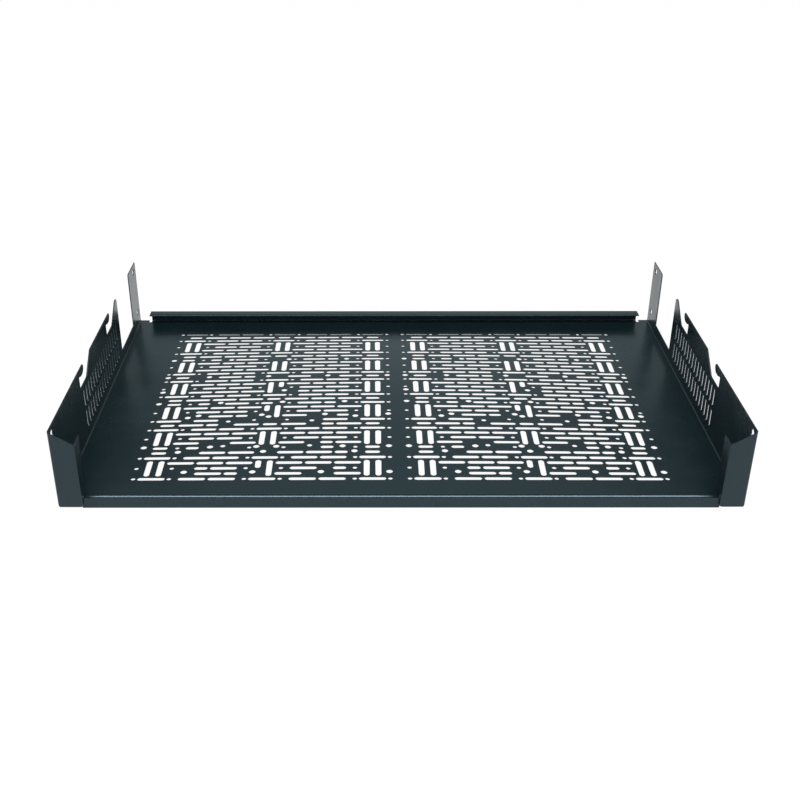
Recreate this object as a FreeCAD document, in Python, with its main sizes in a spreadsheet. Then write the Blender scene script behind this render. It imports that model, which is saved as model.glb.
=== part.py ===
import FreeCAD, Part
import Sketcher
import math
import os
import re

# Cantilever rack shelf, folded from one perforated steel sheet.
# Frame: X across the rack, +Y to the rear, +Z up. The origin is the centre of the
# rectangle the shelf covers, at the level of its lowest edge, the front lip's.

doc = FreeCAD.newDocument("cantileverRackShelf")
sheet = doc.addObject("Spreadsheet::Sheet", "sheet")

dimensions = (
    # the folded tray
    ("width", 450.85),         # over the side walls, a 19 inch rack's opening
    ("depth", 289.6),          # front face to rear edge
    ("steel", 0.8),            # sheet thickness
    ("bend", 0.8),             # inside radius of every fold
    ("deckTop", 10.2),         # upper face of the deck
    ("wallTop", 65.2),         # top edge of walls, channels and rear tabs
    # the front lip, freed from the deck's front corners by a slit at each end
    ("lipSetback", 11.6),      # lip's face behind the channels' faces
    ("lipInset", 12.4),        # lip's ends inside the walls' outer faces
    ("slit", 0.6),
    ("slitBack", 15.6),        # rear end of the slit beside each end of the lip
    # the front channels
    ("channelWidth", 16.3),
    ("channelLow", 55.5),      # top of the channel's inner edge
    ("channelReturn", 12.9),   # how far the inner flange runs back
    ("returnFoot", 18.7),      # underside of the inner flange
    ("channelRoot", 4.6),      # where the channel's fold meets the wall
    ("channelFoot", 8.5),      # the channel's lower edge
    ("footCorner", 1.2),       # bevel of its outer lower corner
    # the rear lip
    ("rearLipInset", 11.125),  # lip's ends inside the walls' outer faces
    ("rearLipTop", 19.5),
    ("rearLipFold", 8.7),      # width of its forward fold
    ("relief", 2.4),           # slot between rear lip and deck corner
    ("reliefBack", 4.0),
    # the side walls' outline, measured back from the front face
    ("hookFront", 83.35),      # front edge of the first hook notch
    ("hookSpacing", 87.6),
    ("hookReach", 13.6),       # overhang of the nose
    ("hookFloor", 51.5),       # floor of the notch
    ("noseRoot", 60.8),        # underside of the nose at its root
    ("noseTip", 59.1),         # and at its tip
    ("floorRun", 18.9),        # length of the notch's floor
    ("slopeRun", 17.0),        # run of its sloping rear edge
    ("wallBack", 212.6),       # rear edge of the tall wall
    ("curbTop", 18.05),        # top of the low wall
    ("tabFront", 261.3),       # front edge of the rear tab
    # screw holes
    ("tabHole", 5.5),
    ("tabHoleBack", 280.8),
    ("holeHigh", 59.6),
    ("holeLow", 22.0),
    ("frontHole", 5.8),
    ("frontHoleBack", 8.2),
    # the side walls' openings, a plain grid of two rows
    ("ventFront", 88.2),       # front edge of the first opening
    ("ventLow", 17.3),         # lower edge of the lower row
    ("ventWidth", 5.3),
    ("ventHeight", 14.2),
    ("ventStep", 13.6),        # along a row
    ("ventRise", 16.55),       # from the lower row to the upper
    # the deck's perforation
    ("pitch", 6.3),            # between rows of slots
    ("firstRow", 32.3),        # behind the front face
    ("slotLength", 18.4),
    ("slotWidth", 4.4),
    ("slotStep", 20.4),        # between slots along a row
    ("bigLength", 19.2),
    ("bigWidth", 4.4),
    ("bigOffset", 4.05),       # from a column's centre line to each big slot
)
for number, (alias, value) in enumerate(dimensions, 1):
    sheet.set(f"A{number}", alias)
    sheet.set(f"B{number}", str(value))
    sheet.setAlias(f"B{number}", alias)
doc.recompute()

body = doc.addObject("PartDesign::Body", "foldedSheet")
planes = {feature.Role: feature for feature in body.Origin.OriginFeatures}


def bound(formula):
    # a formula on the sheet's aliases, as an expression
    return re.sub(r"[A-Za-z]\w*", r"sheet.\g<0>", formula)


def size(formula):
    return float(sheet.evalExpression(bound(formula)))


def newSketch(name, plane, shift="0"):
    sketch = body.newObject("Sketcher::SketchObject", name)
    sketch.AttachmentSupport = (planes[plane], [""])
    sketch.MapMode = "FlatFace"
    sketch.setExpression("AttachmentOffset.Base.z", bound(shift))
    return sketch


def outline(sketch, *corners, side=1):
    # closed outline; each corner is (x, y) or (x, y, radius), and side -1 mirrors it in x
    spots = [(f"{side} * ({corner[0]})", corner[1]) for corner in corners]
    rounds = [corner[2] if len(corner) > 2 else None for corner in corners]
    points = [FreeCAD.Vector(size(x), size(y), 0) for x, y in spots]
    count = len(points)
    toPrevious = [(points[i - 1] - points[i]).normalize() for i in range(count)]
    toNext = [(points[(i + 1) % count] - points[i]).normalize() for i in range(count)]
    halves = [toPrevious[i].getAngle(toNext[i]) / 2 for i in range(count)]
    radii = [size(radius) if radius else 0 for radius in rounds]
    inset = [radii[i] / math.tan(halves[i]) for i in range(count)]
    lines = []
    for i in range(count):
        start = points[i] + toNext[i] * inset[i]
        end = points[(i + 1) % count] - toNext[i] * inset[(i + 1) % count]
        lines.append(sketch.addGeometry(Part.LineSegment(start, end)))
    for i in range(count):
        mark = sketch.addGeometry(Part.Point(points[i]), True)
        for kind, formula, value in (("DistanceX", spots[i][0], points[i].x), ("DistanceY", spots[i][1], points[i].y)):
            index = sketch.addConstraint(Sketcher.Constraint(kind, -1, 1, mark, 1, value))
            sketch.setExpression(f"Constraints[{index}]", bound(formula))
        if not radii[i]:
            sketch.addConstraint(Sketcher.Constraint("Coincident", lines[i - 1], 2, mark, 1))
            sketch.addConstraint(Sketcher.Constraint("Coincident", lines[i], 1, mark, 1))
            continue
        bisector = (toPrevious[i] + toNext[i]).normalize()
        centre = points[i] + bisector * (radii[i] / math.sin(halves[i]))
        ends = [points[i] + toPrevious[i] * inset[i], points[i] + toNext[i] * inset[i]]
        leftTurn = toPrevious[i].cross(toNext[i]).z < 0
        if not leftTurn:
            ends.reverse()
        angles = [math.atan2(end.y - centre.y, end.x - centre.x) for end in ends]
        if angles[1] < angles[0]:
            angles[1] += 2 * math.pi
        circle = Part.Circle(centre, FreeCAD.Vector(0, 0, 1), radii[i])
        arc = sketch.addGeometry(Part.ArcOfCircle(circle, *angles))
        before, after = (1, 2) if leftTurn else (2, 1)
        sketch.addConstraint(Sketcher.Constraint("PointOnObject", mark, 1, lines[i - 1]))
        sketch.addConstraint(Sketcher.Constraint("PointOnObject", mark, 1, lines[i]))
        sketch.addConstraint(Sketcher.Constraint("Tangent", lines[i - 1], 2, arc, before))
        sketch.addConstraint(Sketcher.Constraint("Tangent", lines[i], 1, arc, after))
        index = sketch.addConstraint(Sketcher.Constraint("Radius", arc, radii[i]))
        sketch.setExpression(f"Constraints[{index}]", bound(rounds[i]))


def pad(name, sketch, length, side="One side"):
    feature = body.newObject("PartDesign::Pad", name)
    feature.Profile = sketch
    feature.SideType = side
    feature.setExpression("Length", bound(length))
    return feature


def pocket(name, sketch, length=None):
    # a pocket runs against its sketch's normal, or through everything both ways
    feature = body.newObject("PartDesign::Pocket", name)
    feature.Profile = sketch
    if length:
        feature.setExpression("Length", bound(length))
    else:
        feature.SideType = "Symmetric"
        feature.Type = "ThroughAll"
    doc.recompute()
    before = feature.BaseFeature.Shape.Volume
    if feature.Shape.Volume > before - 1:
        raise RuntimeError(f"{name} cuts nothing")
    return feature


def fromFront(distance):
    # y of a place given as its distance behind the front face
    return f"{distance} - depth / 2"


outer = "bend + steel"         # outside radius of a fold

# tray: deck and side walls, one U section run from the rear edge to the channels' roots
section = newSketch("traySection", "XZ_Plane", "-depth / 2")
outline(
    section,
    ("-width / 2", "wallTop"),
    ("-width / 2", "deckTop - steel", outer),
    ("width / 2", "deckTop - steel", outer),
    ("width / 2", "wallTop"),
    ("width / 2 - steel", "wallTop"),
    ("width / 2 - steel", "deckTop", "bend"),
    ("steel - width / 2", "deckTop", "bend"),
    ("steel - width / 2", "wallTop"),
)
pad("tray", section, "depth - channelRoot")

# the deck ends short of the front between its two corners, where the lip's tongue goes
clearing = newSketch("frontClearing", "XY_Plane")
outline(
    clearing,
    ("lipInset - slit - width / 2", "0 - depth"),
    ("width / 2 - lipInset + slit", "0 - depth"),
    ("width / 2 - lipInset + slit", fromFront("slitBack")),
    ("lipInset - slit - width / 2", fromFront("slitBack")),
)
pocket("frontOpening", clearing)

# hook notches, open at the top, with a nose that reaches back over the notch's floor
above = "wallTop + 5"
for number in (0, 1):
    front = f"hookFront + {number} * hookSpacing - depth / 2"
    slopeTop = f"{front} + floorRun + slopeRun"
    notch = newSketch(f"hookOutline{number}", "YZ_Plane")
    outline(
        notch,
        (f"{front} + hookReach - 1", above),
        (f"{front} + hookReach - 1", "wallTop"),
        (f"{front} + hookReach", "wallTop - 1"),
        (f"{front} + hookReach", "noseTip", "4.5"),
        (f"{front} + 5", "noseTip"),
        (front, "noseRoot"),
        (front, "hookFloor"),
        (f"{front} + floorRun", "hookFloor"),
        (slopeTop, "wallTop"),
        (f"{slopeTop} + 2", "wallTop"),
        (f"{slopeTop} + 2", above),
    )
    pocket(f"hookNotch{number}", notch)

# open stretch of wall between the tall wall and the rear tab
window = newSketch("windowOutline", "YZ_Plane")
outline(
    window,
    (fromFront("wallBack - 5"), above),
    (fromFront("wallBack - 5"), "wallTop"),
    (fromFront("wallBack"), "wallTop", "3"),
    (fromFront("wallBack"), "curbTop"),
    (fromFront("tabFront"), "curbTop"),
    (fromFront("tabFront"), "wallTop - 1.5"),
    (fromFront("tabFront + 1.5"), "wallTop"),
    (fromFront("tabFront + 1.5"), above),
)
pocket("rearWindow", window)

# front channels: wall, face and inner flange in one plan section each side
plan = newSketch("channelPlan", "XY_Plane", "channelFoot")
for side in (-1, 1):
    outline(
        plan,
        ("width / 2", fromFront("channelRoot")),
        ("width / 2", fromFront("0"), outer),
        ("width / 2 - channelWidth", fromFront("0"), outer),
        ("width / 2 - channelWidth", fromFront("channelReturn")),
        ("width / 2 - channelWidth + steel", fromFront("channelReturn")),
        ("width / 2 - channelWidth + steel", fromFront("steel"), "bend"),
        ("width / 2 - steel", fromFront("steel"), "bend"),
        ("width / 2 - steel", fromFront("channelRoot")),
        side=side,
    )
pad("channels", plan, "wallTop - channelFoot")

slope = newSketch("channelSlope", "XZ_Plane", "depth / 2")
foot = newSketch("channelFoot", "XZ_Plane", "depth / 2")
flangeTop = newSketch("flangeTop", "XZ_Plane", "depth / 2")
flangeFoot = newSketch("flangeFoot", "XZ_Plane", "depth / 2 - steel")
inner = "width / 2 - channelWidth"
for side in (-1, 1):
    outline(
        slope,
        ("width / 2", "wallTop"),
        ("width / 2", above),
        (f"{inner} - 1", above),
        (f"{inner} - 1", "channelLow"),
        (inner, "channelLow"),
        side=side,
    )
    outline(
        foot,
        ("width / 2 + 1", "channelFoot - 1"),
        ("width / 2 + 1", "channelFoot + footCorner"),
        ("width / 2", "channelFoot + footCorner"),
        ("width / 2 - footCorner", "channelFoot"),
        ("width / 2 - footCorner", "channelFoot - 1"),
        side=side,
    )
    outline(
        flangeTop,
        (f"{inner} - 1", "channelLow"),
        (f"{inner} + steel", "channelLow"),
        (f"{inner} + steel", above),
        (f"{inner} - 1", above),
        side=side,
    )
    outline(
        flangeFoot,
        (f"{inner} - 1", "channelFoot - 1"),
        (f"{inner} + {outer}", "channelFoot - 1"),
        (f"{inner} + {outer}", "returnFoot"),
        (f"{inner} - 1", "returnFoot"),
        side=side,
    )
pocket("slopingTops", slope, outer)
pocket("footCorners", foot, "channelRoot")
pocket("flangeTops", flangeTop, "channelReturn + 1")
pocket("flangeFeet", flangeFoot, "channelReturn")

# front lip folded down from the deck's tongue
lip = newSketch("lipSection", "YZ_Plane")
outline(
    lip,
    (fromFront("slitBack"), "deckTop"),
    (fromFront("lipSetback"), "deckTop", outer),
    (fromFront("lipSetback"), "0"),
    (fromFront("lipSetback + steel"), "0"),
    (fromFront("lipSetback + steel"), "deckTop - steel", "bend"),
    (fromFront("slitBack"), "deckTop - steel"),
)
pad("frontLip", lip, "width - 2 * lipInset", "Symmetric")

# rear lip folded up and forwards, with a relief slot at each end
reliefCut = newSketch("reliefCut", "XY_Plane")
outline(
    reliefCut,
    ("rearLipInset - relief - width / 2", "depth / 2 - reliefBack"),
    ("width / 2 - rearLipInset + relief", "depth / 2 - reliefBack"),
    ("width / 2 - rearLipInset + relief", "depth / 2 + 1"),
    ("rearLipInset - relief - width / 2", "depth / 2 + 1"),
)
pocket("rearRelief", reliefCut)

rearSection = newSketch("rearLipSection", "YZ_Plane")
outline(
    rearSection,
    ("depth / 2 - reliefBack", "deckTop - steel"),
    ("depth / 2", "deckTop - steel", outer),
    ("depth / 2", "rearLipTop", outer),
    ("depth / 2 - rearLipFold", "rearLipTop"),
    ("depth / 2 - rearLipFold", "rearLipTop - steel"),
    ("depth / 2 - steel", "rearLipTop - steel", "bend"),
    ("depth / 2 - steel", "deckTop", "bend"),
    ("depth / 2 - reliefBack", "deckTop"),
)
pad("rearLip", rearSection, "width - 2 * rearLipInset", "Symmetric")

# screw holes through the rear tabs and the upper front corners of the walls
holes = newSketch("screwHoles", "YZ_Plane")
for back, level, diameter in (
    ("tabHoleBack", "holeHigh", "tabHole"),
    ("tabHoleBack", "holeLow", "tabHole"),
    ("frontHoleBack", "holeHigh", "frontHole"),
):
    centre = FreeCAD.Vector(size(fromFront(back)), size(level), 0)
    circle = holes.addGeometry(Part.Circle(centre, FreeCAD.Vector(0, 0, 1), size(diameter) / 2))
    for kind, formula, value in (("DistanceX", fromFront(back), centre.x), ("DistanceY", level, centre.y)):
        index = holes.addConstraint(Sketcher.Constraint(kind, -1, 1, circle, 3, value))
        holes.setExpression(f"Constraints[{index}]", bound(formula))
    index = holes.addConstraint(Sketcher.Constraint("Diameter", circle, size(diameter)))
    holes.setExpression(f"Constraints[{index}]", bound(diameter))
pocket("screwHoleCuts", holes)
doc.recompute()

# The deck's perforation is laid out on six columns, three to each half, with a cell of
# slots between neighbouring columns of a half. The rows repeat every six.
blank = {
    # slots left out around mounting holes, in both halves: C numbers the columns, A and B
    # the slots of the two cells, left and right the big slots beside the middle column
    1: "A1 A3 B2",
    2: "A1 B2 left",
    5: "A1 B3",
    6: "C1 A1 A2 C2 B1 B2 C3",
    7: "A2 B2",
    11: "A2 B2",
    12: "A2 C2 B1",
    13: "A1 A3 B2 B3",
    14: "left",
    16: "C1 A1 C2 B2",
    19: "B1",
    20: "right",
    23: "A1 A3 B2",
    28: "C1 A1 C2 B2",
}
pitch = size("pitch")
step = size("slotStep")
steel = size("steel")
margin = size("firstRow")
rows = round((size("depth") - 2 * margin) / pitch) + 1
columnStep = 12 * pitch
longSlot = (size("slotLength"), size("slotWidth"))
bigSlot = (size("bigWidth"), size("bigLength"))


def rowOfSlots(row):
    # name, distance from the half's first column and size of each slot in one row
    kind = row % 6
    places = {}
    for cell, centre in (("A", columnStep / 2), ("B", columnStep * 1.5)):
        count = 2 if kind in (0, 2, 4) else 3
        for number in range(count):
            places[f"{cell}{number + 1}"] = (centre + (number - (count - 1) / 2) * step, longSlot)
    for number in range(3):
        if kind in (0, 4):
            places[f"C{number + 1}"] = (number * columnStep, longSlot)
        if kind == 2:
            names = ("left", "right") if number == 1 else (f"left{number}", f"right{number}")
            for name, side in zip(names, (-1, 1)):
                places[name] = (number * columnStep + side * size("bigOffset"), bigSlot)
    left = blank.get(row, "").split()
    return [place for name, place in places.items() if name not in left]


cutters = []
for half in (-27, 3):
    for row in range(rows):
        y = margin + row * pitch - size("depth") / 2
        for place, (across, along) in rowOfSlots(row):
            x = half * pitch + place
            corner = FreeCAD.Vector(x - across / 2, y - along / 2, size("deckTop") - 2 * steel)
            cutters.append(Part.makeBox(across, along, 3 * steel, corner))
for side in (-1, 1):
    wallMiddle = side * (size("width") - steel) / 2
    for column in range(9):
        for level in range(2):
            y = size("ventFront") + column * size("ventStep") - size("depth") / 2
            z = size("ventLow") + level * size("ventRise")
            corner = FreeCAD.Vector(wallMiddle - 1.5 * steel, y, z)
            cutters.append(Part.makeBox(3 * steel, size("ventWidth"), size("ventHeight"), corner))

slots = doc.addObject("Part::Feature", "slots")
slots.Shape = Part.makeCompound(cutters)
slots.Placement = FreeCAD.Placement()

shelf = doc.addObject("Part::Cut", "shelf")
shelf.Label = "shelf"
shelf.Base = body
shelf.Tool = slots
shelf.Placement = FreeCAD.Placement()
doc.recompute()

parts = (shelf,)
for item in doc.Objects:
    if "Invalid" in item.State or "Error" in item.State:
        raise RuntimeError(f"{item.Name} did not build")
for item in parts:
    if item.Shape.isNull() or not item.Shape.isValid() or len(item.Shape.Solids) != 1:
        raise RuntimeError(f"{item.Name} is not one sound solid")

os.makedirs("parts", exist_ok=True)
for item in parts:
    item.Shape.exportStep(f"parts/{item.Label}.step")
    print(item.Label, round(item.Shape.Volume), item.Shape.BoundBox)
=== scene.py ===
import bpy
import math
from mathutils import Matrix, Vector


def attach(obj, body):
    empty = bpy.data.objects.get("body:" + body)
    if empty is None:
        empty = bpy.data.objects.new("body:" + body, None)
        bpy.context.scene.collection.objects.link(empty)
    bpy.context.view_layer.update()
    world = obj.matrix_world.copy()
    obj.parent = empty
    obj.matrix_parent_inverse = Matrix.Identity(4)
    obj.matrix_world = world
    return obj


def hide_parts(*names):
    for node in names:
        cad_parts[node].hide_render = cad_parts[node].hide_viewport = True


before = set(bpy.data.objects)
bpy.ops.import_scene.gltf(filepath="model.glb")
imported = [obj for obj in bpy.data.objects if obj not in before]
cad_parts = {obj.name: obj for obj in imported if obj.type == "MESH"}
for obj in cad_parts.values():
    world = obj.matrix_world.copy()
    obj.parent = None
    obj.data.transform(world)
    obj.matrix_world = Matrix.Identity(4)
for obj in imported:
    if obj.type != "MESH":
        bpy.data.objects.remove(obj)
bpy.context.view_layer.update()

# Cantilever rack shelf: one perforated steel sheet, folded and powder coated black.
# Sizes are millimetres, measured back from the front face and up from the lip's lower edge.
shelf = {
    "width": 450.85,
    "depth": 289.6,
    "steel": 0.8,            # thickness of the sheet
    "bend": 0.8,             # inside radius of the folds
    "bendSegments": 6,
    "deckTop": 10.2,
    "wallTop": 65.2,
    "deckParts": 14,         # each way, so that the deck can curve
    "smoothAngle": 30,       # sharper edges than this stay crisp
    "normalWeight": 50,
}
cutters = {
    "past": 5,               # how far they reach beyond the sheet
    "clear": 1,              # the same, where another fold is near
    "endTop": 40,            # top of those that open the deck's two ends
    "depth": 10,             # of those for slots and small holes
    "across": 500,           # of those that drill both walls
    "cornerSegments": 6,
    "roundSides": 20,
    "screwSides": 32,
    "weld": 0.002,           # points closer than this are merged afterwards
}
past, clear = cutters["past"], cutters["clear"]
near = 0.1                    # places closer than this count as the same
halfWidth = shelf["width"] / 2
middle = shelf["steel"] / 2   # from a face to the sheet's middle layer
deckLevel = shelf["deckTop"] - middle
underside = shelf["deckTop"] - shelf["steel"]
outerBend = shelf["bend"] + shelf["steel"]


def behind(y):
    # a depth behind the front face as the scene's y, still in millimetres
    return y - shelf["depth"] / 2


def mm(x, y, z):
    # shelf sizes to the scene's metres
    return Vector((x / 1000, behind(y) / 1000, z / 1000))


def close(one, other):
    return abs(one - other) < near


def chooseOnly(piece):
    bpy.ops.object.select_all(action="DESELECT")
    piece.select_set(True)
    bpy.context.view_layer.objects.active = piece


def editing(piece, mode):
    chooseOnly(piece)
    bpy.ops.object.mode_set(mode="EDIT")
    bpy.ops.mesh.select_all(action="DESELECT")
    bpy.ops.mesh.select_mode(type=mode)


def finishEdit():
    bpy.ops.object.mode_set(mode="OBJECT")


def pick(piece, kind, wanted):
    # selects the vertices, edges or faces whose middle passes the test, in millimetres
    bpy.ops.object.mode_set(mode="OBJECT")
    points = piece.data.vertices
    for parts in piece.data.polygons, piece.data.edges, points:
        parts.foreach_set("select", [False] * len(parts))
    for part in getattr(piece.data, kind):
        if kind == "vertices":
            at = part.co
        else:
            at = sum((points[i].co for i in part.vertices), Vector()) / len(part.vertices)
        if wanted(at * 1000):
            part.select = True
    bpy.ops.object.mode_set(mode="EDIT")


def applyModifier(piece, kind, **settings):
    chooseOnly(piece)
    modifier = piece.modifiers.new(kind.lower(), kind)
    for name, value in settings.items():
        setattr(modifier, name, value)
    bpy.ops.object.modifier_apply(modifier=modifier.name)


def faceOut(piece):
    editing(piece, "FACE")
    bpy.ops.mesh.select_all(action="SELECT")
    bpy.ops.mesh.normals_make_consistent(inside=False)
    finishEdit()


def combine(piece, tool, operation, solver="EXACT"):
    applyModifier(piece, "BOOLEAN", object=tool, operation=operation, solver=solver)
    bpy.data.objects.remove(tool)
    editing(piece, "VERT")
    bpy.ops.mesh.select_all(action="SELECT")
    bpy.ops.mesh.remove_doubles(threshold=cutters["weld"] / 1000)
    finishEdit()


def block(name, low, high):
    # a box from corner to corner, with its place in its mesh
    bpy.ops.object.select_all(action="DESELECT")
    bpy.ops.mesh.primitive_cube_add(size=1, location=(low + high) / 2)
    piece = bpy.context.object
    piece.name = name
    piece.scale = high - low
    bpy.ops.object.transform_apply(location=True, rotation=True, scale=True)
    return piece


def patch(name, low, high):
    # a flat rectangle of the sheet's middle layer, level or facing the front
    span = high - low
    upright = close(span.y * 1000, 0)
    bpy.ops.object.select_all(action="DESELECT")
    turn = (math.pi / 2, 0, 0) if upright else (0, 0, 0)
    bpy.ops.mesh.primitive_plane_add(size=1, location=(low + high) / 2, rotation=turn)
    piece = bpy.context.object
    piece.name = name
    piece.scale = (span.x, span.z if upright else span.y, 1)
    bpy.ops.object.transform_apply(location=True, rotation=True, scale=True)
    return piece


def foldOut(piece, wanted, *moves):
    # extrudes the chosen edges once for each move
    editing(piece, "EDGE")
    pick(piece, "edges", wanted)
    for move in moves:
        bpy.ops.mesh.extrude_region_move(TRANSFORM_OT_translate={"value": Vector(move) / 1000})
    finishEdit()


def bendAndThicken(piece, onFold, bend=shelf["bend"]):
    # rounds the fold lines and gives the middle layer its thickness
    editing(piece, "EDGE")
    pick(piece, "edges", onFold)
    bpy.ops.mesh.bevel(
        offset=(bend + middle) / 1000, offset_type="OFFSET", segments=shelf["bendSegments"],
        profile=0.5, affect="EDGES",
    )
    finishEdit()
    applyModifier(
        piece, "SOLIDIFY", thickness=shelf["steel"] / 1000, offset=0, use_even_offset=True
    )
    faceOut(piece)


def drawnBlock(name, plane, start, end, corners):
    # an outline drawn corner by corner as (a, b, radius), filled, rounded, pulled into a block
    def at(a, b):
        return mm(start, a, b) if plane == "YZ" else mm(a, start, b)

    points = [at(corner[0], corner[1]) for corner in corners]
    bpy.ops.object.select_all(action="DESELECT")
    bpy.ops.mesh.primitive_plane_add(size=0.001, location=points[0])
    piece = bpy.context.object
    piece.name = name
    bpy.ops.object.transform_apply(location=True, rotation=True, scale=True)
    editing(piece, "VERT")
    bpy.ops.mesh.select_all(action="SELECT")
    bpy.ops.mesh.merge(type="CENTER")    # the plane becomes the first corner
    bpy.ops.mesh.select_all(action="SELECT")
    for here, there in zip(points, points[1:]):
        bpy.ops.mesh.extrude_region_move(TRANSFORM_OT_translate={"value": there - here})
    bpy.ops.mesh.select_all(action="SELECT")
    bpy.ops.mesh.edge_face_add()
    for i, corner in enumerate(corners):
        if len(corner) < 3:
            continue
        before, after = points[i - 1], points[(i + 1) % len(points)]
        opening = (before - points[i]).angle(after - points[i])
        pick(piece, "vertices", lambda spot: (spot - points[i] * 1000).length < near / 10)
        bpy.ops.mesh.bevel(
            offset=corner[2] / math.tan(opening / 2) / 1000, segments=cutters["cornerSegments"],
            profile=0.5, affect="VERTICES",
        )
    bpy.ops.mesh.select_all(action="SELECT")
    pull = (end - start) / 1000
    move = (pull, 0, 0) if plane == "YZ" else (0, pull, 0)
    bpy.ops.mesh.extrude_region_move(TRANSFORM_OT_translate={"value": move})
    finishEdit()
    faceOut(piece)
    return piece


lip = {
    "width": 426.05,
    "setback": 11.6,         # of its face, behind the channels'
    "bend": 1.6,             # a softer fold than the others
    "slit": 0.6,             # beside its ends
    "slitBack": 15.6,
}
rearLip = {
    "width": 428.6,
    "top": 19.5,
    "fold": 10.6,            # how far its flange reaches over the deck
    "relief": 2.4,           # beside its ends
    "reliefBack": 4.0,
}
channel = {
    "width": 16.3,
    "low": 55.5,             # where its sloping top ends
    "back": 12.9,            # of its inner flange
    "flangeFoot": 18.7,
    "root": 4.6,             # where it joins the wall
    "foot": 8.5,
    "corner": 1.2,           # cut off at its foot
}


def foldTray():
    side = halfWidth - middle
    tray = patch(
        "shelfSheet", mm(-side, channel["root"], deckLevel), mm(side, shelf["depth"], deckLevel)
    )
    editing(tray, "FACE")
    bpy.ops.mesh.select_all(action="SELECT")
    bpy.ops.mesh.subdivide(number_cuts=shelf["deckParts"] - 1)
    finishEdit()
    foldOut(tray, lambda at: close(abs(at.x), side), (0, 0, shelf["wallTop"] - deckLevel))
    bendAndThicken(tray, lambda at: close(abs(at.x), side) and close(at.z, deckLevel))
    inside = lip["width"] / 2 + lip["slit"]
    combine(tray, block(
        "frontOpening", mm(-inside, -past, 0), mm(inside, lip["slitBack"], cutters["endTop"])
    ), "DIFFERENCE")
    reach = rearLip["width"] / 2 + rearLip["relief"]
    combine(tray, block(
        "rearClearing",
        mm(-reach, shelf["depth"] - rearLip["reliefBack"], 0),
        mm(reach, shelf["depth"] + past, cutters["endTop"]),
    ), "DIFFERENCE")
    print("tray folded")
    return tray


def foldFrontLip():
    half = lip["width"] / 2
    face = lip["setback"] + middle
    piece = patch("frontLip", mm(-half, face, deckLevel), mm(half, lip["slitBack"], deckLevel))
    foldOut(piece, lambda at: close(at.y, behind(face)), (0, 0, -deckLevel))
    bendAndThicken(
        piece, lambda at: close(at.y, behind(face)) and close(at.z, deckLevel), lip["bend"]
    )
    print("front lip folded")
    return piece


def foldRearLip():
    half = rearLip["width"] / 2
    face = shelf["depth"] - middle
    top = rearLip["top"] - middle
    front = shelf["depth"] - rearLip["reliefBack"]
    piece = patch("rearLip", mm(-half, front, deckLevel), mm(half, face, deckLevel))
    foldOut(
        piece, lambda at: close(at.y, behind(face)),
        (0, 0, top - deckLevel), (0, middle - rearLip["fold"], 0),
    )
    bendAndThicken(
        piece,
        lambda at: close(at.y, behind(face)) and (close(at.z, deckLevel) or close(at.z, top)),
    )
    print("rear lip folded")
    return piece


def foldChannels():
    outer = halfWidth - middle
    inner = halfWidth - channel["width"] + middle
    face = middle
    high = shelf["wallTop"]
    piece = patch("channels", mm(inner, face, channel["foot"]), mm(outer, face, high))
    foldOut(piece, lambda at: close(at.x, outer), (0, channel["root"] - middle, 0))
    foldOut(piece, lambda at: close(at.x, inner), (0, channel["back"] - middle, 0))
    bendAndThicken(
        piece,
        lambda at: close(at.y, behind(face)) and (close(at.x, outer) or close(at.x, inner)),
    )
    edge = halfWidth - channel["width"]
    combine(piece, drawnBlock("slopingTop", "XZ", -clear, outerBend, (
        (halfWidth, high), (halfWidth, high + past), (edge - clear, high + past),
        (edge - clear, channel["low"]), (edge, channel["low"]),
    )), "DIFFERENCE")
    foot = channel["foot"]
    corner = channel["corner"]
    combine(piece, drawnBlock("footCorner", "XZ", -clear, channel["root"], (
        (halfWidth + clear, foot - clear), (halfWidth + clear, foot + corner),
        (halfWidth, foot + corner), (halfWidth - corner, foot), (halfWidth - corner, foot - clear),
    )), "DIFFERENCE")
    combine(piece, block(
        "flangeTop",
        mm(edge - clear, -clear, channel["low"]),
        mm(edge + shelf["steel"], channel["back"] + clear, high + past),
    ), "DIFFERENCE")
    combine(piece, block(
        "flangeFoot",
        mm(edge - clear, channel["root"], foot - clear),
        mm(edge + outerBend, channel["back"] + clear, channel["flangeFoot"]),
    ), "DIFFERENCE")
    applyModifier(piece, "MIRROR", use_axis=(True, False, False), use_mirror_merge=False)
    faceOut(piece)
    print("channels folded")
    return piece


hook = {
    "front": 83.35,          # of the first notch
    "count": 2,
    "spacing": 87.6,
    "reach": 13.6,           # from the notch's front to the tip of its nose
    "noseCut": 1.5,
    "tip": 59.1,             # height of the nose's underside
    "tipRadius": 4.5,
    "underRun": 5,
    "underRadius": 3,
    "root": 60.8,
    "rootRadius": 1,
    "floor": 51.5,
    "frontRadius": 2.2,
    "floorRun": 18.9,
    "floorRadius": 2,
    "slopeRun": 17.0,
    "slopeRadius": 1.5,
    "shoulder": 2,
}
window = {
    "front": 212.6,
    "frontRadius": 3,
    "curb": 18.05,           # height of the sill
    "curbRadius": 1,
    "back": 261.3,           # the tab's front edge
    "backRadius": 1.5,
}
screwHoles = (
    # behind the front face, height, diameter
    (280.8, 59.6, 5.5),
    (280.8, 22.0, 5.5),
    (8.2, 59.6, 5.8),
)


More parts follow.
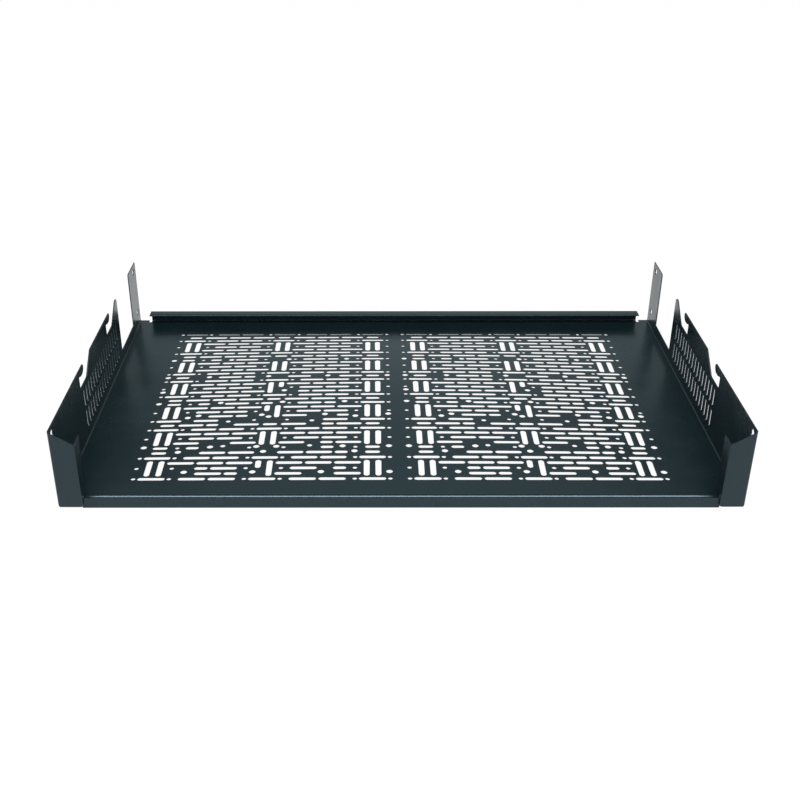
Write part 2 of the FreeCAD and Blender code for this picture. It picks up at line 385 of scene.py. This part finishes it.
def cutWalls(sheet):
    top = shelf["wallTop"]
    above = top + past
    across = (-halfWidth - past, halfWidth + past)
    for number in range(hook["count"]):
        front = hook["front"] + number * hook["spacing"]
        tip = front + hook["reach"]
        nose = hook["noseCut"]
        floorEnd = front + hook["floorRun"]
        slopeEnd = floorEnd + hook["slopeRun"]
        shoulder = slopeEnd + hook["shoulder"]
        combine(sheet, drawnBlock(f"hookNotch{number}", "YZ", *across, (
            (tip - nose, above), (tip - nose, top), (tip, top - nose),
            (tip, hook["tip"], hook["tipRadius"]),
            (front + hook["underRun"], hook["tip"], hook["underRadius"]),
            (front, hook["root"], hook["rootRadius"]),
            (front, hook["floor"], hook["frontRadius"]),
            (floorEnd, hook["floor"], hook["floorRadius"]),
            (slopeEnd, top, hook["slopeRadius"]),
            (shoulder, top), (shoulder, above),
        )), "DIFFERENCE")
    start, end = window["front"] - past, window["back"] + past
    combine(sheet, drawnBlock("rearWindow", "YZ", *across, (
        (start, above), (start, top),
        (window["front"], top, window["frontRadius"]),
        (window["front"], window["curb"], window["curbRadius"]),
        (window["back"], window["curb"], window["curbRadius"]),
        (window["back"], top, window["backRadius"]),
        (end, top), (end, above),
    )), "DIFFERENCE")
    for back, height, diameter in screwHoles:
        bpy.ops.object.select_all(action="DESELECT")
        bpy.ops.mesh.primitive_cylinder_add(
            vertices=cutters["screwSides"], radius=diameter / 2000,
            depth=cutters["across"] / 1000, location=mm(0, back, height),
            rotation=(0, math.pi / 2, 0),
        )
        combine(sheet, bpy.context.object, "DIFFERENCE")
    print("walls cut")


# The deck's slots stand on six columns, three to each half, with a cell of slots between
# neighbouring columns of a half. Places across count from a half's first column.
pattern = {
    "repeat": 6,             # rows
    "pitch": 6.3,            # between rows
    "firstRow": 32.3,
    "rows": 37,
    "columnStep": 75.6,
    "firstColumns": (-170.1, 18.9),
    "slotStep": 20.4,
    "long": (18.9, 4.05),    # length, width
    "half": (9.4, 4.05),
    "short": (10.8, 4.05),
    "last": (18.9, 2.3),     # the rearmost row is narrower
    "big": (19.2, 4.15),     # the big pairs are turned front to back
    "bigShort": (9.8, 4.15),
    "bigOffset": 4.05,
    "dot": 3.3,              # small round holes beside the columns
    "dotOffset": 12.2,
}
changed = {
    # slots that make room for a mounting hole, in both halves: C numbers the columns, A and B
    # the slots of the two cells, D the small holes beside a column
    1: {"A1": "gone", "A3": "left", "B2": "gone"},
    2: {"A1": "right", "B2": "right", "big1left": "rear", "D2right": "gone"},
    5: {"A1": "gone", "C1": "gone", "B3": "left"},
    6: {
        "C0": "short", "A1": "left", "A2": "gone", "C1": "gone", "B1": "gone", "B2": "left",
        "C2": "short", "D0left": "gone", "D2right": "gone",
    },
    7: {"A2": "gone", "B2": "right"},
    11: {"A2": "left", "B2": "right"},
    12: {"A2": "gone", "C1": "gone", "B1": "gone", "D0right": "gone", "D2left": "gone"},
    13: {"A1": "gone", "A3": "left", "B2": "gone", "B3": "left"},
    14: {"big1left": "rear"},
    16: {"C0": "short", "A1": "left", "C1": "left", "B2": "left", "D0left": "gone"},
    19: {"B1": "right"},
    20: {"big1right": "rear"},
    23: {"A1": "gone", "A3": "left", "C1": "gone", "B2": "gone"},
    28: {"C0": "short", "A1": "left", "C1": "gone", "B2": "left", "D0left": "gone"},
}
mounting = {"outer": -11.9, "inner": 21.1, "step": 47.25, "count": 4}
outerHoles = [mounting["outer"] + mounting["step"] * i for i in range(mounting["count"])]
innerHoles = [mounting["inner"] + mounting["step"] * i for i in range(mounting["count"])]
mountingHoles = (
    # row, diameter, places across
    (1.3, 4.7, innerHoles),
    (5.2, 4.7, (13.4, 73.7, 138.4)),
    (6.2, 4.7, outerHoles + innerHoles[1::2]),
    (6.34, 3.9, (44.4, 106.3)),
    (11.74, 3.9, (44.4, 106.3)),
    (12.75, 4.7, (13.4, 73.7, 138.4)),
    (13.2, 4.7, innerHoles),
    (16.25, 4.7, outerHoles),
    (19.2, 4.7, outerHoles[::2]),
    (23.1, 4.7, outerHoles[:1] + innerHoles),
    (28.0, 4.7, outerHoles),
)


def rowY(row):
    return pattern["firstRow"] + row * pattern["pitch"]


def rowSlots(row):
    # the kind of every opening in one row of a half, and its place across
    kind = row % pattern["repeat"]
    found = []
    swaps = changed.get(row, {})
    longSlot, halfSlot = pattern["long"][0], pattern["half"][0]

    def add(name, place, normal):
        swap = swaps.get(name, normal)
        if swap == "gone":
            return
        if swap in ("left", "right"):
            place += (longSlot - halfSlot) / 2 * (1 if swap == "right" else -1)
            swap = "half"
        found.append((swap, place))

    for cell, centre in (("A", 0.5), ("B", 1.5)):
        count = 3 if kind % 2 else 2    # slots to a cell
        for i in range(count):
            shift = (i - (count - 1) / 2) * pattern["slotStep"]
            add(f"{cell}{i + 1}", centre * pattern["columnStep"] + shift, "long")
    # a column has a long slot in rows 0 and 4, a short one in 5, a big pair across 1 to 3
    for column in range(3):
        place = column * pattern["columnStep"]
        if kind in (0, 4):
            add(f"C{column}", place, "long")
        if kind == 5:
            add(f"C{column}", place, "short")
        for side, offset in (("left", -1), ("right", 1)):
            if kind == 2:
                add(f"big{column}{side}", place + offset * pattern["bigOffset"], "big")
            if kind in (0, 2, 4):
                add(f"D{column}{side}", place + offset * pattern["dotOffset"], "dot")
    return found


def slotCutter(length, width, turned):
    # an upright cylinder, one half of it pulled away to make a slot with round ends
    bpy.ops.object.select_all(action="DESELECT")
    bpy.ops.mesh.primitive_cylinder_add(
        vertices=cutters["roundSides"], radius=width / 2000, depth=cutters["depth"] / 1000
    )
    cutter = bpy.context.object
    if length > width:
        editing(cutter, "VERT")
        pick(cutter, "vertices", lambda at: at.x > near)
        bpy.ops.transform.translate(value=((length - width) / 1000, 0, 0))
        bpy.ops.mesh.select_all(action="SELECT")
        bpy.ops.transform.translate(value=((width - length) / 2000, 0, 0))
        if turned:
            bpy.ops.transform.rotate(
                value=math.pi / 2, orient_axis="Z", center_override=(0, 0, 0)
            )
        finishEdit()
    return cutter


def copyTo(model, place):
    copy = model.copy()
    copy.data = model.data.copy()
    copy.location = place
    bpy.context.collection.objects.link(copy)
    return copy


def joinAndCut(sheet, copies, models):
    for model in models:
        bpy.data.objects.remove(model)
    bpy.ops.object.select_all(action="DESELECT")
    for copy in copies:
        copy.select_set(True)
    bpy.context.view_layer.objects.active = copies[0]
    bpy.ops.object.join()
    cutter = bpy.context.object
    bpy.ops.object.transform_apply(location=True, rotation=True, scale=True)
    combine(sheet, cutter, "DIFFERENCE", "MANIFOLD")


def perforateDeck(sheet):
    models = {}
    for name in ("long", "half", "short", "last"):
        models[name] = slotCutter(*pattern[name], False)
    models["big"] = slotCutter(*pattern["big"], True)
    models["rear"] = slotCutter(*pattern["bigShort"], True)
    models["dot"] = slotCutter(pattern["dot"], pattern["dot"], False)
    copies = []
    rearShift = (pattern["big"][0] - pattern["bigShort"][0]) / 2
    for first in pattern["firstColumns"]:
        for row in range(pattern["rows"]):
            for kind, x in rowSlots(row):
                if kind == "long" and row == pattern["rows"] - 1:
                    kind = "last"
                y = rowY(row) + (rearShift if kind == "rear" else 0)
                copies.append(copyTo(models[kind], mm(first + x, y, deckLevel)))
    for row, diameter, places in mountingHoles:
        size = f"round{diameter}"
        if size not in models:
            models[size] = slotCutter(diameter, diameter, False)
        for first in pattern["firstColumns"]:
            for x in places:
                copies.append(copyTo(models[size], mm(first + x, rowY(row), deckLevel)))
    joinAndCut(sheet, copies, models.values())
    print("deck perforated with", len(copies), "openings")


wallSlots = {
    "first": 90.7,
    "last": 199.8,
    "columns": 16,
    "heights": (24.4, 40.95),
    "length": 14.2,
    "width": 3.0,
}


def slotWalls(sheet):
    bpy.ops.object.select_all(action="DESELECT")
    bpy.ops.mesh.primitive_cylinder_add(
        vertices=cutters["roundSides"], radius=wallSlots["width"] / 2000,
        depth=cutters["depth"] / 1000, rotation=(0, math.pi / 2, 0),
    )
    cutter = bpy.context.object
    bpy.ops.object.transform_apply(location=True, rotation=True, scale=True)
    editing(cutter, "VERT")
    pick(cutter, "vertices", lambda at: at.z > near)
    reach = (wallSlots["length"] - wallSlots["width"]) / 1000
    bpy.ops.transform.translate(value=(0, 0, reach))
    bpy.ops.mesh.select_all(action="SELECT")
    bpy.ops.transform.translate(value=(0, 0, -reach / 2))
    finishEdit()
    copies = []
    step = (wallSlots["last"] - wallSlots["first"]) / (wallSlots["columns"] - 1)
    for side in (-1, 1):
        for height in wallSlots["heights"]:
            for i in range(wallSlots["columns"]):
                back = wallSlots["first"] + i * step
                copies.append(copyTo(cutter, mm(side * (halfWidth - middle), back, height)))
    joinAndCut(sheet, copies, [cutter])
    print("walls slotted")


# A pressed deck isn't quite flat: it rises a little towards its middle, and its front edge
# hangs a little between the channels.
crown = {
    "rise": 4.0,
    "reach": 222.5,          # to each side of the middle
    "margin": 16,            # flat along the folds
}
hang = {
    "drop": 0.85,
    "from": 11.5,            # from the lip's face
    "full": 30,              # back to here in full
    "gone": 75,
    "sideFade": 9,
}


def hangFront(sheet):
    for point in sheet.data.vertices:
        across, back = point.co.x * 1000, point.co.y * 1000 + shelf["depth"] / 2
        high = point.co.z * 1000
        inReach = abs(across) < crown["reach"] and hang["from"] < back < hang["gone"]
        if inReach and high < shelf["deckTop"] + near:
            fade = min(1, (hang["gone"] - back) / (hang["gone"] - hang["full"]))
            fade = fade * fade * (3 - 2 * fade)    # eased at both ends
            fade *= min(1, (crown["reach"] - abs(across)) / hang["sideFade"])
            point.co.z -= hang["drop"] * fade * min(1, high / underside) / 1000


def crownDeck(sheet):
    front = crown["margin"]
    span = shelf["depth"] - 2 * front
    lowest = underside - hang["drop"] - near
    for point in sheet.data.vertices:
        across, back = point.co.x * 1000, point.co.y * 1000 + shelf["depth"] / 2
        onDeck = lowest < point.co.z * 1000 < shelf["deckTop"] + near
        if onDeck and abs(across) < crown["reach"] and front < back < front + span:
            lift = math.cos(math.pi * across / crown["reach"] / 2)
            lift *= math.sin(math.pi * (back - front) / span)
            point.co.z += crown["rise"] * lift / 1000


sheet = foldTray()
combine(sheet, foldFrontLip(), "UNION")
combine(sheet, foldRearLip(), "UNION")
combine(sheet, foldChannels(), "UNION")
cutWalls(sheet)
slotWalls(sheet)
perforateDeck(sheet)
hangFront(sheet)
crownDeck(sheet)
print("shelf", len(sheet.data.polygons), "faces")


def linear(hexColour):
    # sRGB hex to the linear values a node takes
    values = [int(hexColour[i:i + 2], 16) / 255 for i in (1, 3, 5)]
    return [v / 12.92 if v <= 0.04045 else ((v + 0.055) / 1.055) ** 2.4 for v in values] + [1.0]


def node(owner, kind, settings={}, links={}):
    # adds a node to a material or the world; sockets go by name or number
    new = owner.node_tree.nodes.new(kind)
    for name, value in settings.items():
        if isinstance(name, int) or name in new.inputs:
            new.inputs[name].default_value = value
        else:
            setattr(new, name, value)
    for name, source in links.items():
        owner.node_tree.links.new(source, new.inputs[name])
    return new


coat = {
    "dark": "#0f1b1f",
    "pale": "#132327",
    "shine": "#d8f1ff",
    "glossy": 0.225,         # roughness from here
    "dull": 0.28,            # to here
    "cloud": 22.2,           # millimetres, faint clouds in tone and gloss
    "cloudDetail": 3.0,
    "cloudRange": (0.3, 0.7),
    "peel": 1.11,            # millimetres, waves of the orange peel
    "peelDetail": 2.0,
    "peelDepth": 0.1,        # millimetres
    "peelStrength": 0.1,
    "edge": 0.2,             # millimetres, the powder rounds the cut edges
}


def powderCoat():
    # polyester powder sprayed and baked on steel: satin black, a little blue, with a fine
    # orange peel that softens every reflection
    material = bpy.data.materials.new("satinBlackPowderCoat")
    material.use_nodes = True
    join = material.node_tree.links.new
    shader = material.node_tree.nodes["Principled BSDF"]
    shader.inputs["Specular Tint"].default_value = linear(coat["shine"])
    place = node(material, "ShaderNodeTexCoord").outputs["Object"]
    clouds = node(
        material, "ShaderNodeTexNoise",
        {"Scale": 1000 / coat["cloud"], "Detail": coat["cloudDetail"]}, {"Vector": place},
    )
    shade = node(
        material, "ShaderNodeMix",
        {"data_type": "RGBA", 6: linear(coat["dark"]), 7: linear(coat["pale"])},
        {0: clouds.outputs[0]},
    )
    join(shade.outputs[2], shader.inputs["Base Color"])
    fromLow, fromHigh = coat["cloudRange"]
    gloss = node(
        material, "ShaderNodeMapRange",
        {
            "From Min": fromLow, "From Max": fromHigh,
            "To Min": coat["glossy"], "To Max": coat["dull"],
        },
        {"Value": clouds.outputs[0]},
    )
    join(gloss.outputs[0], shader.inputs["Roughness"])
    peel = node(
        material, "ShaderNodeTexNoise",
        {"Scale": 1000 / coat["peel"], "Detail": coat["peelDetail"]}, {"Vector": place},
    )
    rounded = node(material, "ShaderNodeBevel", {"Radius": coat["edge"] / 1000})
    bump = node(
        material, "ShaderNodeBump",
        {"Strength": coat["peelStrength"], "Distance": coat["peelDepth"] / 1000},
        {"Height": peel.outputs[0], "Normal": rounded.outputs["Normal"]},
    )
    join(bump.outputs["Normal"], shader.inputs["Normal"])
    return material


sheet.data.materials.clear()
sheet.data.materials.append(powderCoat())
chooseOnly(sheet)
bpy.ops.object.shade_smooth_by_angle(angle=math.radians(shelf["smoothAngle"]))
applyModifier(
    sheet, "WEIGHTED_NORMAL", mode="FACE_AREA", weight=shelf["normalWeight"], keep_sharp=True
)
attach(sheet, "root")
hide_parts("shelf")
print("shelf powder coated")

ground = {
    "side": 12,              # metres
    "drop": 0.0005,          # metres, below the lip's lower edge
    "tone": "#f4f4f4",
    "white": "#ffffff",
    "glow": 1.03,
    "glowShare": 0.95,       # the rest of what is seen is lit paper, which keeps the shadow
}
bpy.ops.object.select_all(action="DESELECT")
bpy.ops.mesh.primitive_plane_add(size=ground["side"], location=(0, 0, -ground["drop"]))
floor = bpy.context.object
floor.name = "floor"
# matt white paper, which looks as white as the backdrop and lights the shelf as plain paper
paper = bpy.data.materials.new("whitePaper")
paper.use_nodes = True
paper.node_tree.nodes.clear()
diffuse = node(paper, "ShaderNodeBsdfDiffuse", {"Color": linear(ground["tone"])})
glow = node(
    paper, "ShaderNodeEmission", {"Color": linear(ground["white"]), "Strength": ground["glow"]}
)
path = node(paper, "ShaderNodeLightPath")
looks = node(
    paper, "ShaderNodeMath", {"operation": "ADD", "use_clamp": True},
    {0: path.outputs["Is Camera Ray"], 1: path.outputs["Is Glossy Ray"]},
)
through = node(
    paper, "ShaderNodeMath", {"operation": "ADD", "use_clamp": True},
    {0: looks.outputs[0], 1: path.outputs["Is Transmission Ray"]},
)
share = node(
    paper, "ShaderNodeMath", {"operation": "MULTIPLY", 1: ground["glowShare"]},
    {0: through.outputs[0]},
)
seen = node(
    paper, "ShaderNodeMixShader", {},
    {0: share.outputs[0], 1: diffuse.outputs[0], 2: glow.outputs[0]},
)
node(paper, "ShaderNodeOutputMaterial", {}, {"Surface": seen.outputs[0]})
floor.data.materials.append(paper)
print("floor laid")

# What the coat's gloss reflects: a lit strip that runs over the shelf from front to back and
# a lit band along the horizon, with dark flags between them. Other light is even, and the
# background that is seen is white.
backdrop = {
    "centre": 0.02,          # of the strip, a little to the right
    "sideStart": 0.47,       # across over height, where the strip starts to light up
    "sideFull": 0.29,
    "strength": 0.74,
    "topStart": 1.1,         # heights are those of a direction one long
    "topFull": 0.75,
    "horizonStart": 0.475,
    "horizonFull": 0.375,
}
smooth = {"interpolation_type": "SMOOTHSTEP", "To Min": 0.0, "To Max": 1.0}
worldLight = {
    # colour, strength
    "around": ("#ffffff", 0.3),
    "flags": ("#ffffff", 0.03),
    "drop": ("#e9fbff", 0.7),
    "white": ("#ffffff", 1.0),
}
world = bpy.data.worlds.new("studio")
bpy.context.scene.world = world
world.use_nodes = True
world.node_tree.nodes.clear()
direction = node(world, "ShaderNodeTexCoord")
axes = node(world, "ShaderNodeSeparateXYZ", {}, {"Vector": direction.outputs["Generated"]})
offCentre = node(
    world, "ShaderNodeMath", {"operation": "SUBTRACT", 1: backdrop["centre"]},
    {0: axes.outputs["X"]},
)
aside = node(world, "ShaderNodeMath", {"operation": "ABSOLUTE"}, {0: offCentre.outputs[0]})
sideways = node(
    world, "ShaderNodeMath", {"operation": "DIVIDE"}, {0: aside.outputs[0], 1: axes.outputs["Z"]}
)
between = node(
    world, "ShaderNodeMapRange",
    {
        **smooth, "From Min": backdrop["sideStart"], "From Max": backdrop["sideFull"],
        "To Max": backdrop["strength"],
    },
    {"Value": sideways.outputs[0]},
)
below = node(
    world, "ShaderNodeMapRange",
    {**smooth, "From Min": backdrop["topStart"], "From Max": backdrop["topFull"]},
    {"Value": axes.outputs["Z"]},
)
strip = node(
    world, "ShaderNodeMath", {"operation": "MULTIPLY"},
    {0: between.outputs[0], 1: below.outputs[0]},
)
horizon = node(
    world, "ShaderNodeMapRange",
    {**smooth, "From Min": backdrop["horizonStart"], "From Max": backdrop["horizonFull"]},
    {"Value": axes.outputs["Z"]},
)
lit = node(
    world, "ShaderNodeMath", {"operation": "MAXIMUM"},
    {0: horizon.outputs[0], 1: strip.outputs[0]},
)
shades = {}
for name, (colour, strength) in worldLight.items():
    shades[name] = node(
        world, "ShaderNodeBackground", {"Color": linear(colour), "Strength": strength}
    ).outputs[0]
rays = node(world, "ShaderNodeLightPath")
reflected = node(
    world, "ShaderNodeMixShader", {}, {0: lit.outputs[0], 1: shades["flags"], 2: shades["drop"]}
)
soft = node(
    world, "ShaderNodeMixShader", {},
    {0: rays.outputs["Is Glossy Ray"], 1: shades["around"], 2: reflected.outputs[0]},
)
seenThrough = node(
    world, "ShaderNodeMath", {"operation": "ADD", "use_clamp": True},
    {0: rays.outputs["Is Camera Ray"], 1: rays.outputs["Is Transmission Ray"]},
)
shown = node(
    world, "ShaderNodeMixShader", {},
    {0: seenThrough.outputs[0], 1: soft.outputs[0], 2: shades["white"]},
)
node(world, "ShaderNodeOutputWorld", {}, {"Surface": shown.outputs[0]})

# Two softboxes in front, in metres and watts. The edge light shows in gloss alone, along the
# front lip's fold.
lamps = {
    "key": {
        "place": (0, -0.88, 1.31), "width": 1.8, "height": 0.65, "power": 29, "glossOnly": False,
    },
    "edgeLight": {
        "place": (0, -0.84, 1.2), "width": 2.2, "height": 0.84, "power": 31, "glossOnly": True,
    },
}
lampAim = Vector((0, -0.1, 0))
for name, lamp in lamps.items():
    light = bpy.data.lights.new(name, "AREA")
    light.shape = "RECTANGLE"
    light.size = lamp["width"]
    light.size_y = lamp["height"]
    light.energy = lamp["power"]
    softbox = bpy.data.objects.new(name, light)
    bpy.context.collection.objects.link(softbox)
    softbox.location = lamp["place"]
    aim = lampAim - Vector(lamp["place"])
    softbox.rotation_euler = aim.to_track_quat("-Z", "Y").to_euler()
    softbox.visible_diffuse = not lamp["glossOnly"]
print("studio lit")

view = {
    "lens": 49.53,
    "sensor": 36,
    "shift": (0.0351, -0.0149),
    "place": (-0.01843, -0.74469, 0.41901),    # metres
    "down": 28.218,          # degrees below level
    "pan": 0.00131,          # radians
    "roll": -0.0013,
}
camera = bpy.data.cameras.new("camera")
camera.lens = view["lens"]
camera.sensor_width = view["sensor"]
camera.shift_x, camera.shift_y = view["shift"]
eye = bpy.data.objects.new("camera", camera)
bpy.context.collection.objects.link(eye)
eye.location = view["place"]
eye.rotation_euler = (math.radians(90 - view["down"]), 0, view["pan"])
eye.rotation_euler.rotate_axis("Z", view["roll"])
bpy.context.scene.camera = eye
bpy.context.scene.view_settings.view_transform = "Standard"
print("camera placed")
